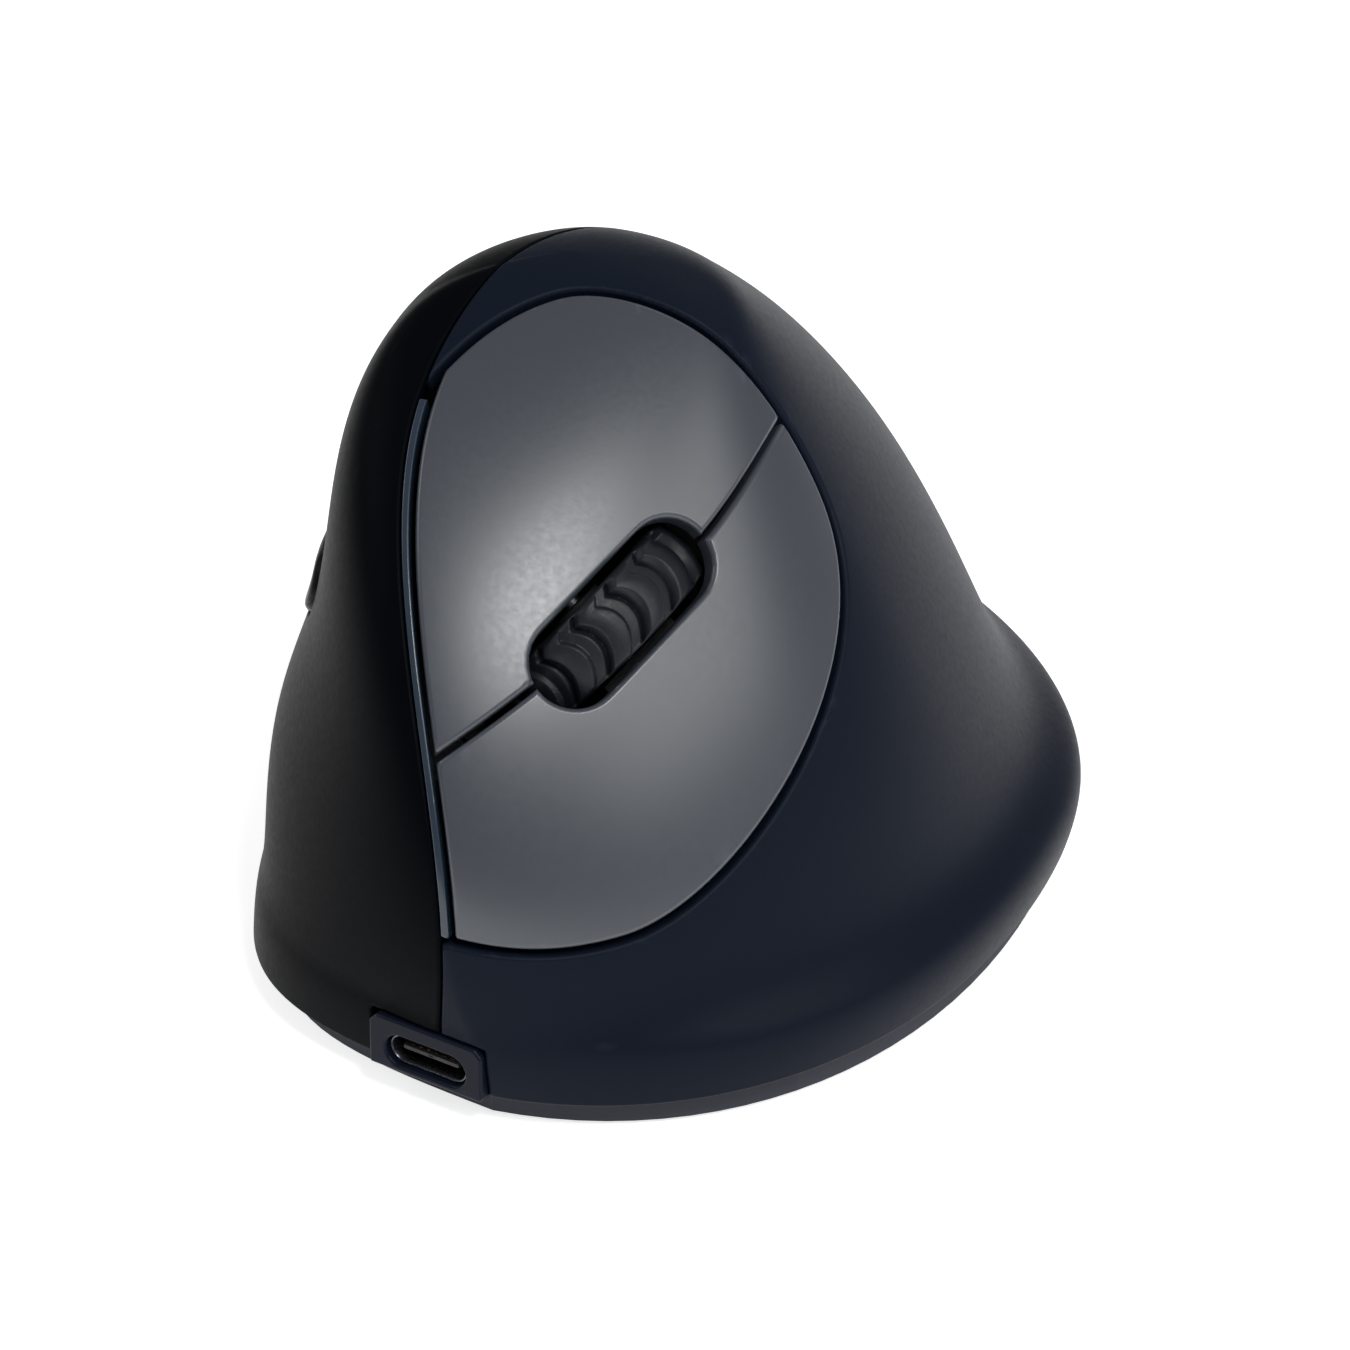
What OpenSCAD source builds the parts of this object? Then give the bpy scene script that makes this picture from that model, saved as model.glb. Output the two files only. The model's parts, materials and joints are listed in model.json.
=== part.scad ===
// Left-handed vertical computer mouse: shells, keys, wheel, boards, switches and base.
// The front end faces -Y, the finger side faces +X, the thumb side faces -X and +Z is up.
// The origin is the centre of the bounding box on the plane that the glide feet stand on.

/* [Body] */
// Width of the body over the skirt and the thumb rest
body_w = 76.8; // [60:0.5:96]
// Length of the body from the port end to the palm end
body_l = 105.5; // [84:0.5:128]
// Height of the crown above the table
body_h = 68.6; // [56:0.5:84]
// Wall of the shells and the key plates
wall = 2.2; // [1.8:0.1:2.8]
// Gap between a key plate and its neighbours
key_gap = 0.6; // [0.4:0.05:0.9]
// Width of the light strip along the front ridge
strip_w = 0.9; // [0.6:0.1:1.6]

/* [Base] */
// Thickness of the base plate
base_t = 2.1; // [1.6:0.1:3]
// How far the base plate stands inside the skirt
base_inset = 3; // [2:0.25:4]
// Thickness of the glide feet
foot_t = 0.5; // [0.4:0.1:0.8]
// Radius of the screw shanks
screw_r = 0.95; // [0.8:0.05:1.2]

/* [Wheel] */
// Radius of the wheel over the tread ribs
wheel_r = 12; // [9.5:0.25:14.5]
// Width of the tyre
tyre_w = 6.8; // [5.5:0.1:8.5]
// How far the wheel stands out of the keys
wheel_proud = 1.75; // [0.5:0.25:2.5]
// Length of the slot for the wheel
slot_l = 22.4; // [20:0.2:27]
// Side gap between the tyre and the slot
slot_gap = 1; // [0.8:0.1:2]
// Radius of the wheel's axle
axle_r = 1; // [0.8:0.1:1.4]
// Number of ribs round the tread
tread_n = 15; // [10:1:24]

/* [Keys] */
// Radius of the hinge pins
pin_r = 1; // [0.8:0.1:1.3]
// Radial clearance of pins, axles and plungers
run_gap = 0.05; // [0.03:0.01:0.09]
// Length of each thumb key
thumb_key_l = 18; // [14:0.5:22]
// Height of each thumb key
thumb_key_h = 6.5; // [5:0.25:8]
// How far the thumb keys stand proud
thumb_proud = 0.8; // [0.6:0.1:2]

/* [Port] */
// Width of the port plate
port_w = 13; // [12:0.25:16]
// Height of the port plate
port_h = 5.8; // [5:0.1:7]
// Angle that the port plate turns towards the thumb side
port_turn = 15; // [0:1:20]

/* [Hidden] */

$fn = 48;
eps = 0.01;

// ---- body surface ----
// Each row is one level line: height, ridge x y, ridge roundness, finger side x y, palm end x y, thumb side x y.
level_rows = [
    [3.5, 6.5, 1, 23, 48, 57, 1, 104.5, -27.2, 38],
    [8, 6.5, 0.2, 23, 49.5, 57, 1, 106, -27.2, 40],
    [10.5, 6, 0.6, 22, 48.5, 57, 1, 105, -26.6, 41],
    [13, 4, 0.5, 17, 44, 52, 2, 102, -26.6, 42],
    [24, 3, 0, 9, 40, 46, 3, 101, -28, 43],
    [38, -1.5, 6, 7, 33.5, 45, 1, 95, -21.5, 43],
    [52, -8, 17.5, 7, 24.5, 47, 0, 82, -20.5, 42],
    [63, -11, 32, 8, 17, 50, 0, 66, -17.5, 43],
    [68, -8, 45, 7, 11.5, 54, 0, 58.5, -11, 46],
    [68.6, -1, 50.5, 0, -1, 50.5, -1, 50.5, -1, 50.5]
];
last = len(level_rows) - 1;
crown_z = level_rows[last][0];
skirt_z = level_rows[0][0];
sx = body_w / 76.8;
sy = body_l / 105.5;
sz = (body_h - skirt_z) / (crown_z - skirt_z);
front_pull = 0.62;
rear_pull = 0.5;

function to_size(r) = [skirt_z + (r[0] - skirt_z) * sz, r[1] * sx, r[2] * sy, r[3] * sx,
    r[4] * sx, r[5] * sy, r[6] * sx, r[7] * sy, r[8] * sx, r[9] * sy];
rows = [for (r = level_rows) to_size(r)];

function bez(p, t) = pow(1 - t, 3) * p[0] + 3 * t * pow(1 - t, 2) * p[1]
    + 3 * t * t * (1 - t) * p[2] + pow(t, 3) * p[3];
function bez_run(p, n) = [for (i = [0:n - 1]) bez(p, i / n)];

// A level line moved inwards by d and down by drop.
function inset(r, d, drop) = [r[0] - drop, r[1], r[2] + d, r[3], r[4] - d, r[5], r[6], r[7] - d, r[8] + d, r[9]];

// The thumb side of the ridge turns back by the port plate's angle low down and runs straight higher up.
turn_low = 12;
turn_high = 26;
function low_share(z) = max(0, min(1, (turn_high - z) / (turn_high - turn_low)));
function nose_turn(z) = port_turn * low_share(z);

// Low down the thumb side runs further forward before it turns in to the port plate.
thumb_pull = 0.62;
low_thumb_pull = 0.14;
stem_share = 0.8;
low_stem_share = 0.16;

// The closed outline of one level line, with n points to each quarter.
function outline(r, n) = let (
        s = [r[1], r[2]],
        f = [r[4], r[5]],
        p = [r[6], r[7]],
        t = [r[8], r[9]],
        x = [1, 0],
        y = [0, 1],
        turn = nose_turn(r[0]),
        low = low_share(r[0]),
        back = [-cos(turn), sin(turn)] * (stem_share + low_stem_share * low),
        pull = thumb_pull + low_thumb_pull * low
    ) concat(
        bez_run([s, s + x * r[3], f - y * front_pull * (f.y - s.y), f], n),
        bez_run([f, f + y * rear_pull * (p.y - f.y), p + x * rear_pull * (f.x - p.x), p], n),
        bez_run([p, p - x * rear_pull * (p.x - t.x), t + y * rear_pull * (p.y - t.y), t], n),
        bez_run([t, t - y * pull * (t.y - s.y), s + back * r[3], s], n)
    );

// Weights of a clamped cubic B-spline over the rows.
function knot(i) = max(0, min(last - 2, i - 3));
function share(a, b, v) = b == a ? 0 : v / (b - a);
function weight(i, k, t) = k == 0
    ? (t >= knot(i) && t < knot(i + 1) ? 1 : 0)
    : share(knot(i), knot(i + k), t - knot(i)) * weight(i, k - 1, t)
        + share(knot(i + 1), knot(i + k + 1), knot(i + k + 1) - t) * weight(i + 1, k - 1, t);

// Rings of points from the skirt to just below the crown.
function rings(rs, n, m) = let (lines = [for (r = rs) [for (p = outline(r, n)) [p.x, p.y, r[0]]]])
    [for (k = [0:m - 1]) let (t = (last - 2) * k / m, w = [for (i = [0:last]) weight(i, 3, t)])
        [for (j = [0:4 * n - 1]) [for (c = [0:2]) sum([for (i = [0:last]) w[i] * lines[i][j][c]])]]];
function sum(v, i = 0, s = 0) = i == len(v) ? s : sum(v, i + 1, s + v[i]);

// The closed solid inside a set of rings, carried down to z = floor_z.
module ring_solid(g, floor_z, top) {
    n = len(g[0]);
    m = len(g);
    low = [for (p = g[0]) [p.x, p.y, floor_z]];
    pts = concat(low, [for (r = g) for (p = r) p], [top]);
    sides = [for (k = [0:m - 1]) for (j = [0:n - 1]) let (a = k * n + j, b = k * n + (j + 1) % n)
        each [[a, a + n, b + n], [a, b + n, b]]];
    cap = [for (j = [0:n - 1]) [m * n + j, len(pts) - 1, m * n + (j + 1) % n]];
    polyhedron(concat(pts), concat([[for (j = [0:n - 1]) j]], sides, cap));
}

outer_rings = rings(rows, 18, 40);
apex = [rows[last][1], rows[last][2], rows[last][0]];
function wall_rows(w) = [for (i = [0:last])
    i < 3 ? inset(rows[i], w + 2.6 + (i == 1 ? 1.2 : 0.4), 0)
    : i < 6 ? inset(rows[i], w + 0.2, 0)
    : i == 6 ? inset(rows[i], w + 0.9, 0.3)
    : i == 7 ? inset(rows[i], w + 1, w * 0.7)
    : inset(rows[i], i == last ? 0 : w * 0.4, w)];

module outer_solid() ring_solid(outer_rings, skirt_z - eps, apex);
module inner_solid(w = wall) ring_solid(rings(wall_rows(w), 12, 28), skirt_z - 3, apex - [0, 0, w]);
module proud_solid() ring_solid(rings([for (r = rows) inset(r, r[4] == r[8] ? 0 : -thumb_proud, 0)], 18, 40),
    skirt_z - eps, apex);
module skin() {
    difference() {
        outer_solid();
        inner_solid();
    }
}

// ---- placing ----
xs = [for (r = outer_rings) for (p = r) p.x];
ys = [for (r = outer_rings) for (p = r) p.y];
port_out = 0.2;
front_y = min(min(ys), rows[1][2] - port_out * cos(port_turn));
mid = [(max(xs) + min(xs)) / 2, (max(ys) + front_y) / 2];
module place() translate([-mid.x, -mid.y, 0]) children();

// The finger face: a along it, b up it and h out of it.
face_yaw = 45;
face_pitch = 42;
slot_at = [25.4, 38.9];
face_h = 26.9;
along = [cos(face_yaw), sin(face_yaw), 0];
up = [-sin(face_yaw) * sin(face_pitch), cos(face_yaw) * sin(face_pitch), cos(face_pitch)];
out = [sin(face_yaw) * cos(face_pitch), -cos(face_yaw) * cos(face_pitch), sin(face_pitch)];
slot_point = slot_at.x * along + slot_at.y * up + face_h * out;
face_move = [slot_point.x * (sx - 1), slot_point.y * (sy - 1), (slot_point.z - skirt_z) * (sz - 1)];
module in_face() translate(face_move) rotate([90 - face_pitch, 0, face_yaw]) children();
function face_to_body(a, b, h) = a * along + b * up + h * out + face_move;

// The wheel: x along the slot, y along the axle and z out of the face.
slot_turn = 29.5;
wheel_h = face_h + wheel_proud - wheel_r;
wheel_shift = 1;
wheel_at = slot_at + wheel_shift * [cos(slot_turn), sin(slot_turn)];
module in_wheel() in_face() translate([wheel_at.x, wheel_at.y, wheel_h]) rotate([0, 0, slot_turn]) children();

// The thumb side: x up it, y towards the palm end and z out of it.
thumb_lean = 76;
thumb_point = [-22.1 * sx, 48 * sy, skirt_z + 34.5 * sz];
module in_thumb() translate(thumb_point) rotate([0, -thumb_lean, 0]) children();

// The port plate: x along it, y into the body.
ridge_foot = [rows[1][1], rows[1][2], 0];
module in_port() translate(ridge_foot) rotate([0, 0, -port_turn]) translate([-port_w / 2, 0, 0]) children();

// ---- plan and face outlines ----
seam = concat(
    [[2.6, -12]],
    bez_run([[2.4, 0.5], [-2.4, 8], [-9.9, 19], [-9.9, 31]], 8),
    bez_run([[-9.9, 31], [-9.9, 38], [-7.6, 48], [-4, 56]], 6),
    bez_run([[-4, 56], [0.5, 66], [9, 85], [9, 108]], 6),
    [[9, 130]]
);
function moved_seam(d) = [for (p = seam) [p.x * sx + d, p.y * sy]];
side_reach = 90;
module left_of(d) translate([0, 0, -5]) linear_extrude(110)
    polygon(concat(moved_seam(d), [[-side_reach, 130 * sy], [-side_reach, -12 * sy]]));
module right_of(d) translate([0, 0, -5]) linear_extrude(110)
    polygon(concat(moved_seam(d), [[side_reach, 130 * sy], [side_reach, -12 * sy]]));

leaf_top = [31, 70.8];
leaf_side = [50.6, 43];
leaf_low = [18, 9.8];
leaf_left_top = [15.6, 65.2];
leaf_left_low = [2.1, 15.1];
leaf_right = concat(
    bez_run([leaf_left_top, [21, 68.8], [26, 70.8], leaf_top], 6),
    bez_run([leaf_top, [40, 70.8], [50.6, 54], leaf_side], 10),
    bez_run([leaf_side, [50.6, 28], [30, 9.8], leaf_low], 10),
    bez_run([leaf_low, [11, 9.8], [6, 12], leaf_left_low], 5)
);
leaf = [for (p = concat(leaf_right, [leaf_left_low, [-8, 20.5], [0, 57]])) with_height(p)];
function with_height(p) = [p.x, slot_at.y + (p.y - slot_at.y) * sz];
leaf_closed = concat(leaf_right, bez_run([leaf_left_low, [2.6, 35], [6.5, 52], leaf_left_top], 6));
leaf_mid = [27, 40];
module leaf_core(k, low_h, t) in_face() translate([leaf_mid.x, leaf_mid.y, low_h]) linear_extrude(t)
    polygon([for (p = leaf_closed) (with_height(p) - leaf_mid) * k]);

split_line = [[-12, 26], [3.2, 30.2], [17, 35.2], [34, 43], [48.2, 53.3], [62, 63.5]];
module stadium(l, w) {
    square([l - w, w], center = true);
    for (s = [-1, 1])
        translate([s * (l - w) / 2, 0]) circle(w / 2);
}
slot_w = tyre_w + 2 * slot_gap;
module slot_2d() translate(slot_at) rotate(slot_turn) stadium(slot_l, slot_w);
module face_prism(low_h = 4) in_face() translate([0, 0, low_h]) linear_extrude(60) children();
module key_2d(dir) difference() {
    intersection() {
        polygon(leaf);
        translate([0, dir * key_gap / 2 * 1.15]) polygon(concat(split_line, [[62, dir * 150], [-12, dir * 150]]));
    }
    slot_2d();
}

// ---- stack heights out of the face ----
deck_h = 8.5;
deck_t = 2;
board_t = 1.2;
board_h = deck_h + deck_t;
switch_h = 6.5;
switch_low = board_h + board_t;
switch_top = switch_low + switch_h;
plunger_out = 0.65;
lever_low = switch_top + plunger_out + run_gap;
lever_t = 2;
lever_mid = lever_low + lever_t / 2;
hinge_a = 38.5;
hinge_h = lever_low + 2;
barrel_r = pin_r + 1.2;
index_switch_at = [21, 55];
middle_switch_at = [25, 20];
index_barrel = [51, 56.8];
middle_barrel = [28.8, 32.2];
ear_t = 1.6;
ear_gap = 0.2;

// ---- base ----
base_top = foot_t + base_t;
pcb_lift = 0.6;
pcb_t = 1;
pcb_low = base_top + pcb_lift;
pcb_top = pcb_low + pcb_t;
rim_in = 5.2;
rim_t = 1.2;
rim_h = 3;
function base_line(d) = outline(inset(rows[1], d, 0), 24);
rib_t = 2.5;
ribs = [[10, 26, 48], [40, 26, 54]];
screw_spots = [[11.25, 30], [11.25, 45], [41.25, 31], [41.25, 50]];
boss_r = 3;
boss_h = 9;
function spot(s) = let (w = face_to_body(s.x, s.y, deck_h)) [w.x, w.y];
foot_spots = [[9, 10.5, 0], [37.5, 45, 76], [-18.5, 46, 88], [3, 94.5, 0]];
foot_l = 14;
foot_w = 5;
sensor_at = [14 * sx, 61 * sy];
lens_r = 3.4;
power_at = [24 * sx, 70 * sy];
power_travel = 3;
knob_l = 3.4;
knob_w = 2.6;
board_at = [3.5 * sx, 54.5 * sy];
board_l = 26;
board_w = 25;
cell = [12, 28, 7.5];
cell_at = [-11.5 * sx, 49 * sy];

module screw_hole(s, r, low, h) translate([spot(s).x, spot(s).y, low]) cylinder(r = r, h = h);

module base_plate() color([0.11, 0.12, 0.15]) place() difference() {
    union() {
        translate([0, 0, foot_t]) linear_extrude(base_t) polygon(base_line(base_inset));
        translate([0, 0, base_top]) linear_extrude(rim_h) difference() {
            polygon(base_line(rim_in + wall));
            polygon(base_line(rim_in + wall + rim_t));
            in_port() translate([0, 5]) square([20, 20], center = true);
        }
        translate([0, 0, base_top]) linear_extrude(pcb_lift) {
            for (c = [[3, 3], [board_w - 3, 3], [3, board_l - 3], [board_w - 3, board_l - 3]])
                translate(board_at + c) circle(1.8);
            in_port()
                for (x = [-5, 5])
                    translate([x, 8.6]) circle(1.5);
        }
    }
    intersection() {
        in_thumb() translate([-60, -10.7, thumb_board_z - bracket_t - 0.3]) cube([64, 25, 12]);
        translate([-100, 0, base_top]) cube([200, 200, 100]);
    }
    for (s = screw_spots) {
        screw_hole(s, screw_r + 0.15, -1, 9);
        screw_hole(s, 2.1, -1, foot_t + 1.1 + 1);
    }
    translate([sensor_at.x, sensor_at.y, -1]) cylinder(r = lens_r + 0.1, h = 9);
    translate([power_at.x, power_at.y, 0]) {
        translate([power_travel / 2, 0, 0])
            cube([knob_l + power_travel + 0.4, knob_w + 0.3, 12], center = true);
    }
}

module glide_foot(i) color([0.75, 0.76, 0.78]) place()
    translate([foot_spots[i].x * sx, foot_spots[i].y * sy, 0]) rotate(foot_spots[i][2])
        linear_extrude(foot_t) stadium(foot_l, foot_w);
module glide_foot_1() glide_foot(0);
module glide_foot_2() glide_foot(1);
module glide_foot_3() glide_foot(2);
module glide_foot_4() glide_foot(3);

module base_screw(i) color([0.5, 0.5, 0.52]) place() difference() {
    union() {
        screw_hole(screw_spots[i], 1.9, foot_t + 0.3, 0.8);
        screw_hole(screw_spots[i], screw_r, foot_t + 1, 8);
    }
    translate([spot(screw_spots[i]).x, spot(screw_spots[i]).y, foot_t + 0.5])
        for (q = [0, 90])
            rotate(q) cube([2.4, 0.5, 0.7], center = true);
}
module base_screw_1() base_screw(0);
module base_screw_2() base_screw(1);
module base_screw_3() base_screw(2);
module base_screw_4() base_screw(3);

// ---- shells ----
module port_pocket() in_port() {
    translate([0, -4, skirt_z + port_h / 2 - 0.1]) cube([port_w + 0.3, 12, port_h + 0.3], center = true);
    translate([0, 6.8, skirt_z + 2]) cube([17, 10.4, 9.5], center = true);
}

strip_low = skirt_z + 17.8 * sz;
strip_top = skirt_z + 57.8 * sz;
strip_reach = 45 * sy;
module strip_zone(d0, d1, grow) intersection() {
    right_of(d0);
    left_of(d1);
    translate([0, 0, (strip_low + strip_top) / 2])
        cube([300, 2 * strip_reach, strip_top - strip_low + 2 * grow], center = true);
}

key_spots = [[0, -(thumb_key_l + 1) / 2], [0, (thumb_key_l + 1) / 2]];
module thumb_key_2d(i, grow) translate(key_spots[i]) offset(r = grow) rotate(90) stadium(thumb_key_l, thumb_key_h);

module thumb_shell() color([0.03, 0.035, 0.045]) place() resize([0, 0, 0]) difference() {
    intersection() {
        skin();
        left_of(0);
    }
    port_pocket();
    in_thumb() translate([0, 0, -15]) linear_extrude(30)
        for (i = [0, 1])
            thumb_key_2d(i, 0.35);
}

module finger_shell() color([0.18, 0.2, 0.26]) place() resize([0, 0, 0]) difference() {
    intersection() {
        skin();
        right_of(0.12);
    }
    port_pocket();
    face_prism() offset(r = key_gap) polygon(leaf);
    strip_zone(-1, strip_w + key_gap, 0.3);
}

module light_strip() color([0.36, 0.45, 0.53]) place() resize([0, 0, 0]) intersection() {
    skin();
    strip_zone(0.1, strip_w, 0);
}

module key_plate(dir) color([0.38, 0.4, 0.44]) place() resize([0, 0, 0]) intersection() {
    skin();
    right_of(strip_w + key_gap);
    face_prism() key_2d(dir);
}
module index_key() key_plate(1);
module middle_key() key_plate(-1);

// ---- port ----
socket_w = 9;
socket_t = 3.2;
socket_l = 7.3;
socket_z = pcb_top + socket_t / 2;
module port_bezel() color([0.09, 0.1, 0.15]) place() in_port() difference() {
    translate([0, 0, skirt_z + port_h / 2 - 0.1]) rotate([90, 0, 0]) translate([0, 0, -1.4])
        linear_extrude(1.4 + port_out) difference() {
            square([port_w, port_h], center = true);
            for (s = [-1, 1])
                translate([s * port_w / 2, port_h / 2]) rotate(45) square(1.2, center = true);
        }
    translate([0, 0, socket_z]) rotate([90, 0, 0]) linear_extrude(8, center = true)
        stadium(socket_w + 0.3, socket_t + 0.3);
}
module usb_socket() color([0.7, 0.71, 0.72]) place() in_port() translate([0, 0.5, socket_z]) rotate([-90, 0, 0]) {
    difference() {
        linear_extrude(socket_l) stadium(socket_w, socket_t);
        translate([0, 0, -eps]) linear_extrude(socket_l - 1) stadium(socket_w - 0.6, socket_t - 0.6);
    }
    translate([0, 0, 1]) linear_extrude(socket_l - 1.5) square([6.7, 0.7], center = true);
}
module usb_board() color([0.06, 0.2, 0.12]) place() in_port() {
    translate([-7, 1.9, pcb_low]) cube([14, 8.8, pcb_t]);
    for (x = [-6.2, 5])
        translate([x, 3.4, pcb_top]) cube([1.2, 2, 0.7]);
}

// ---- inner frame ----
function drop_to(b, z) = let (l = (b * cos(face_pitch) + deck_h * sin(face_pitch) + face_move.z - z))
    [b - l * cos(face_pitch), deck_h - l * sin(face_pitch)];
module rib(r) in_face() translate([r[0], 0, 0]) rotate([90, 0, 90]) linear_extrude(rib_t)
    polygon([[r[1], deck_h + eps], drop_to(r[1], base_top), drop_to(r[2], base_top), [r[2], deck_h + eps]]);
module wheel_window(low_h, t) in_wheel() translate([-leg_x - window_side, -9.5, low_h - wheel_h])
    cube([2 * (leg_x + window_side), 16, t]);
module ears(barrel) in_face() for (b = [barrel[0] - ear_gap - ear_t, barrel[1] + ear_gap])
    translate([hinge_a - 2.6, b, board_h - 0.5]) cube([5.2, ear_t, hinge_h - board_h + 1.9]);
pan_low = -wheel_r - 7.4;
pan_t = 1.5;
leg_x = wheel_r + 0.6;
window_side = 2.9;
module chassis() color([0.22, 0.22, 0.24]) place() difference() {
    union() {
        difference() {
            leaf_core(0.8, deck_h, deck_t);
            wheel_window(deck_h - 1, deck_t + 2);
        }
        for (r = ribs)
            rib(r);
        ears(index_barrel);
        ears(middle_barrel);
        in_wheel() {
            translate([-leg_x - 1.5, -4, pan_low]) cube([2 * leg_x + 3, 8, pan_t]);
            for (x = [-leg_x - 2.5, leg_x])
                translate([x, -4, pan_low]) cube([2.5, 8, deck_h + deck_t - wheel_h - pan_low]);
        }
        for (s = screw_spots)
            screw_hole(s, boss_r, base_top, boss_h);
    }
    for (s = screw_spots)
        screw_hole(s, screw_r + 0.03, base_top - 1, boss_h - 1);
    in_face() translate([hinge_a, 20, hinge_h]) rotate([-90, 0, 0]) cylinder(r = pin_r, h = 45);
}
module hinge_pin(barrel) color([0.75, 0.75, 0.76]) place() in_face()
    translate([hinge_a, barrel[0] - ear_gap - ear_t, hinge_h]) rotate([-90, 0, 0])
        cylinder(r = pin_r, h = barrel[1] - barrel[0] + 2 * (ear_gap + ear_t));
module index_pin() hinge_pin(index_barrel);
module middle_pin() hinge_pin(middle_barrel);

module key_board(low_b, high_b) color([0.06, 0.2, 0.12]) place() difference() {
    intersection() {
        leaf_core(0.78, board_h, board_t);
        in_face() translate([0, low_b, board_h - 1]) cube([hinge_a - 3.2, high_b - low_b, board_t + 2]);
    }
    wheel_window(board_h - 1, board_t + 2);
    in_wheel() for (x = [-leg_x - 3, leg_x - 0.5])
        translate([x, -4.5, board_h - wheel_h - 1]) cube([3.5, 9, board_t + 2]);
}
module index_board() key_board(44, 70);
module middle_board() key_board(10, 30);

// ---- key levers: a bar, a hinge barrel and posts that hold the key plate ----
function near_h(a, b) = let (
        far = 40,
        fits = [for (r = outer_rings) for (p = r) let (
            q = p - face_move,
            d = norm([q * along - a, q * up - b]))
            if (d < 2.4 && q * out > 5) q * out]
    ) len(fits) == 0 ? far : min(fits);
module post(p) in_face() translate([p.x, p.y, lever_low]) cylinder(r = 1.4, h = near_h(p.x, p.y) - 0.9 - lever_low);
module lever(bar_from, bar_to, barrel, posts) color([0.25, 0.26, 0.28]) place() difference() {
    union() {
        in_face() {
            translate([bar_from.x, bar_from.y, lever_low])
                rotate(atan2(bar_to.y - bar_from.y, bar_to.x - bar_from.x))
                    translate([-1.5, -1.6, 0]) cube([norm(bar_to - bar_from) + 1.5, 3.2, lever_t]);
            translate([hinge_a, barrel[0], hinge_h]) rotate([-90, 0, 0]) cylinder(r = barrel_r, h = barrel[1] - barrel[0]);
        }
        for (p = posts)
            post(p);
    }
    in_face() {
        translate([hinge_a, barrel[0] - 2, hinge_h]) rotate([-90, 0, 0])
            cylinder(r = pin_r + run_gap, h = barrel[1] - barrel[0] + 4);
        translate([hinge_a - 3, barrel[0] - ear_gap - ear_t - 2.3, lever_low - 1]) cube([6, ear_t + ear_gap + 2.3, 6]);
    }
}
module index_lever() lever(index_switch_at, [hinge_a - 1.5, 55], index_barrel, [[22, 55], [28.5, 55], [34.5, 55]]);
module middle_lever() lever(middle_switch_at, [hinge_a - 1.2, 30.4], middle_barrel, [[25.5, 20.4], [30, 24], [34, 27.2]]);

// ---- switches ----
sw_l = 12.8;
sw_w = 5.8;
plunger_r = 1;
bore_deep = 3;
module key_switch(at, turn) color([0.09, 0.09, 0.1]) place() in_face() translate([at.x, at.y, switch_low]) difference() {
    rotate(turn) translate([-sw_l / 2, -sw_w / 2, 0]) cube([sw_l, sw_w, switch_h]);
    translate([0, 0, switch_h - bore_deep]) cylinder(r = plunger_r + run_gap, h = bore_deep + 1);
}
module key_plunger(at) color([0.85, 0.85, 0.8]) place() in_face()
    translate([at.x, at.y, switch_top - 1.9]) cylinder(r = plunger_r, h = 1.9 + plunger_out);
module index_switch() key_switch(index_switch_at, 90);
module index_plunger() key_plunger(index_switch_at);
module middle_switch() key_switch(middle_switch_at, 0);
module middle_plunger() key_plunger(middle_switch_at);

// ---- wheel ----
hub_r = wheel_r - 2.2;
hub_w = tyre_w - 0.4;
cheek_y = tyre_w / 2 + 0.8;
cheek_t = 1.4;
bridge_z = -wheel_r - 0.6;
carrier_low = -wheel_r - 2;
encoder_t = 2.6;
click_travel = 0.5;
click_switch_h = 2.5;
module along_y(y, r, h) translate([0, y, 0]) rotate([-90, 0, 0]) cylinder(r = r, h = h);
module wheel_carrier() color([0.2, 0.2, 0.22]) place() in_wheel() difference() {
    union() {
        translate([-leg_x + 0.2, -3.6, carrier_low]) cube([2 * leg_x - 0.4, 7.2, bridge_z - carrier_low]);
        for (y = [-cheek_y - cheek_t, cheek_y])
            translate([-5, y, carrier_low]) cube([10, cheek_t, 3 - carrier_low]);
        translate([-5, -cheek_y - cheek_t, carrier_low]) cube([10, 2 * (cheek_y + cheek_t), bridge_z - carrier_low]);
    }
    along_y(-20, axle_r + run_gap, 40);
}
module wheel_axle() color([0.75, 0.75, 0.76]) place() in_wheel()
    along_y(-cheek_y - cheek_t - encoder_t + 0.4, axle_r, 2 * (cheek_y + cheek_t) + encoder_t - 0.5);
module wheel_hub() color([0.3, 0.3, 0.32]) place() in_wheel() difference() {
    along_y(-hub_w / 2, hub_r, hub_w);
    for (s = [-1, 1])
        translate([0, s * hub_w / 2, 0]) rotate([90, 0, 0]) difference() {
            cylinder(r = hub_r - 1.5, h = 3, center = true);
            cylinder(r = 3, h = 4, center = true);
        }
    along_y(-10, axle_r, 20);
}
rib_out = 0.5;
shoulder = 0.9;
module wheel_tyre() color([0.16, 0.17, 0.19]) place() in_wheel() difference() {
    union() {
        along_y(-tyre_w / 2 + shoulder, wheel_r - rib_out, tyre_w - 2 * shoulder);
        along_y(-tyre_w / 2, wheel_r - 1.3, tyre_w);
        for (i = [0:tread_n - 1])
            rotate([0, i * 360 / tread_n, 0]) translate([wheel_r - 2, -tyre_w / 2 + shoulder + 0.3, -0.8])
                cube([2, tyre_w - 2 * shoulder - 0.6, 1.6]);
    }
    along_y(-10, hub_r, 20);
}
module wheel_encoder() color([0.15, 0.15, 0.16]) place() in_wheel() difference() {
    translate([-5, -cheek_y - cheek_t - encoder_t, -5]) cube([10, encoder_t, 10]);
    along_y(-20, axle_r + run_gap, 40);
}
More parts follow.
